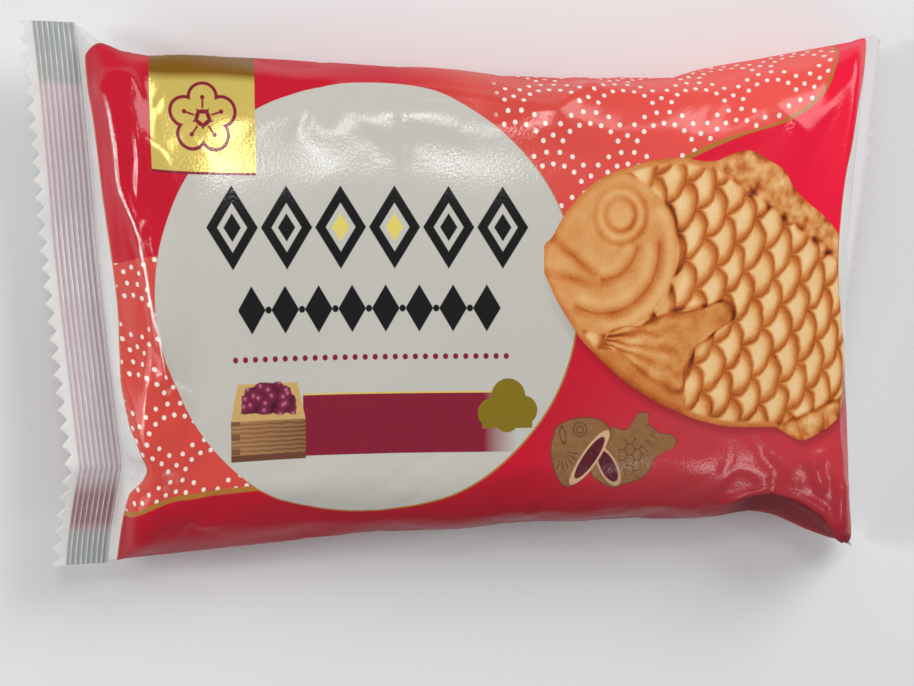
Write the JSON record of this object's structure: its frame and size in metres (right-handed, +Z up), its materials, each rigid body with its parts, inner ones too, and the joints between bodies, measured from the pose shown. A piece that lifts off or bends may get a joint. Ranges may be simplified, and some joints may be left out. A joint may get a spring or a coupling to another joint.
{
  "type": "flow-wrapped snack pack",
  "caption": "Shut pillow pack in printed gloss film with a crimped, zigzag-cut seal at each end, lying on its back with the front up.",
  "frame": {"origin": "under the middle of the pack, on the surface that it lies on", "axes": "+X along the pack from the flat seal to the drooping seal, +Y across it, +Z up through the printed front"},
  "size_m": [0.175, 0.105, 0.03],
  "materials": {
    "film": "gloss printed film"
  },
  "bodies": {
    "root": {"pack": "film"}
  },
  "joints": []
}
